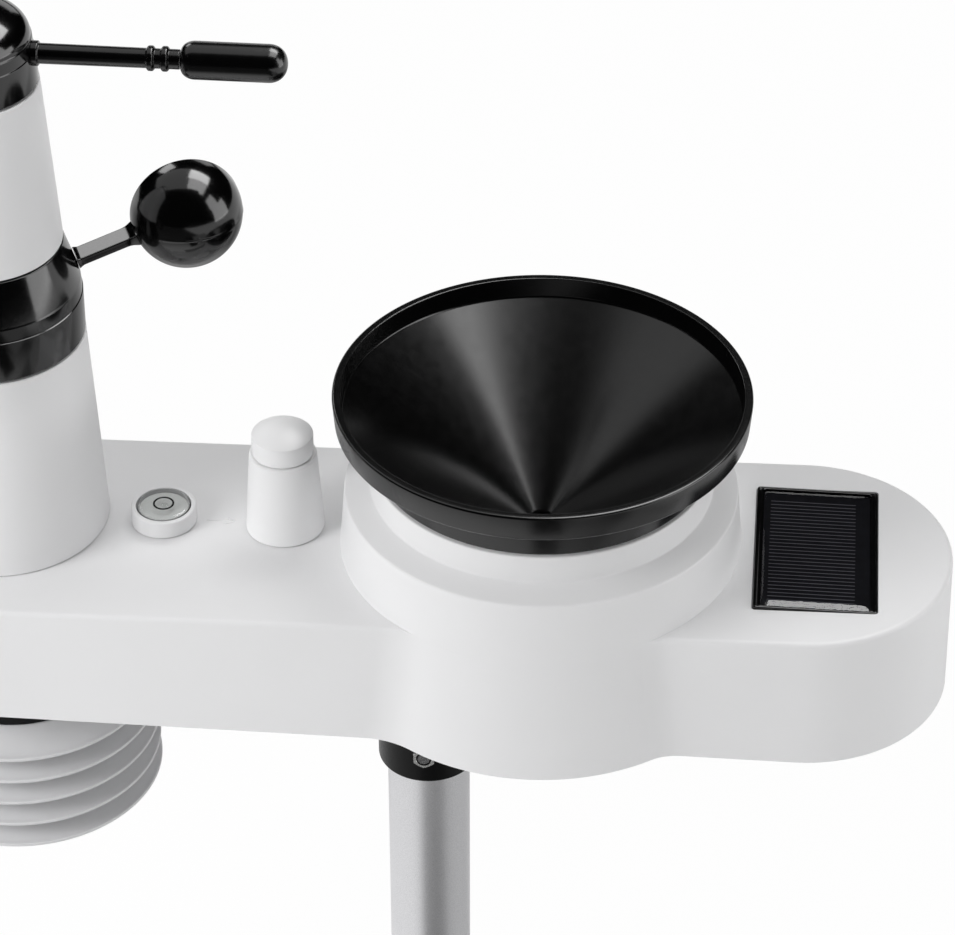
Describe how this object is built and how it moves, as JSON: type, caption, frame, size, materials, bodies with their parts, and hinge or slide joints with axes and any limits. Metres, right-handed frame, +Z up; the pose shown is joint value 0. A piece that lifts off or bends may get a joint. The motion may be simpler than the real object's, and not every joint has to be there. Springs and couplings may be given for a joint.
{
  "type": "home weather station",
  "caption": "Outdoor weather sensor array on a mast: long case with wind vane, spinning cups, rain funnel over a tipping bucket, light dome, level, solar panel and louvred climate shield.",
  "frame": {"origin": "centre of the mast tube's lower end", "axes": "+Z up along the mast, +X along the case toward the solar panel, -Y toward the front"},
  "size_m": [0.4019, 0.1495, 0.426],
  "materials": {
    "white_plastic": "fine satin moulding",
    "black_plastic": "polished moulding",
    "matte_black": "fine matte moulding",
    "anodised_aluminium": "satin anodised",
    "bright_steel": "bright",
    "clear_plastic": "clear",
    "diffuser_plastic": "milky",
    "circuit_board": "lacquered board",
    "solar_silicon": "striped cell",
    "battery_wrap": "printed sleeve, plain"
  },
  "bodies": {
    "station": {"battery_1": "battery_wrap", "battery_2": "battery_wrap", "battery_door": "white_plastic", "battery_door_screw": "bright_steel", "bottom_cover": "white_plastic", "bucket_frame": "white_plastic", "climate_board": "circuit_board", "cover_screw_1": "bright_steel", "cover_screw_2": "bright_steel", "cover_screw_3": "bright_steel", "cover_screw_4": "bright_steel", "level_holder": "white_plastic", "level_vial": "clear_plastic", "light_board": "circuit_board", "light_dome": "diffuser_plastic", "light_post": "white_plastic", "main_board": "circuit_board", "mast_bolt": "bright_steel", "mast_nut": "bright_steel", "mast_socket": "matte_black", "mast_tube": "anodised_aluminium", "rain_board": "circuit_board", "rotor_bearing_lower": "bright_steel", "rotor_bearing_upper": "bright_steel", "shield_neck": "matte_black", "shield_plate_1": "white_plastic", "shield_plate_2": "white_plastic", "shield_plate_3": "white_plastic", "shield_plate_4": "white_plastic", "shield_plate_5": "white_plastic", "shield_rod_1": "bright_steel", "shield_rod_2": "bright_steel", "shield_rod_3": "bright_steel", "solar_cell": "solar_silicon", "solar_cover": "clear_plastic", "solar_tray": "matte_black", "tower_lower": "white_plastic", "tower_stem": "bright_steel", "tower_upper": "white_plastic", "upper_case": "white_plastic", "vane_board": "circuit_board", "vane_bush": "white_plastic", "wind_speed_board": "circuit_board"},
    "vane": {"vane_cap": "black_plastic", "vane_arm": "black_plastic", "vane_counterweight": "black_plastic", "vane_tail": "black_plastic", "vane_shaft": "bright_steel", "vane_magnet": "bright_steel"},
    "rotor": {"rotor_hub": "black_plastic", "wind_cup_1": "black_plastic", "wind_cup_2": "black_plastic", "wind_cup_3": "black_plastic", "rotor_magnet": "bright_steel"},
    "funnel": {"rain_funnel": "black_plastic"},
    "bucket": {"tipping_bucket": "matte_black", "bucket_magnet": "bright_steel", "bucket_axle": "bright_steel"},
    "button": {"reset_button": "matte_black"}
  },
  "joints": [
    {"name": "vane_turn", "type": "hinge", "parent": "station", "child": "vane", "pos_m": [-0.13645, 0, 0.39301], "axis": [0, 0, 1], "continuous": true},
    {"name": "cups_spin", "type": "hinge", "parent": "station", "child": "rotor", "pos_m": [-0.13645, 0, 0.30321], "axis": [0, 0, 1], "continuous": true},
    {"name": "funnel_twist", "type": "hinge", "parent": "station", "child": "funnel", "pos_m": [0.0367, 0, 0.2665], "axis": [0, 0, 1], "range_deg": [0, 30]},
    {"name": "bucket_tip", "type": "hinge", "parent": "station", "child": "bucket", "pos_m": [0.0367, 0, 0.209], "axis": [0, -1, 0], "range_deg": [0, 28]},
    {"name": "reset_press", "type": "slide", "parent": "station", "child": "button", "axis": [0, 0, 1], "range_m": [0, 0.0008], "stiffness_N_per_m": 400}
  ]
}
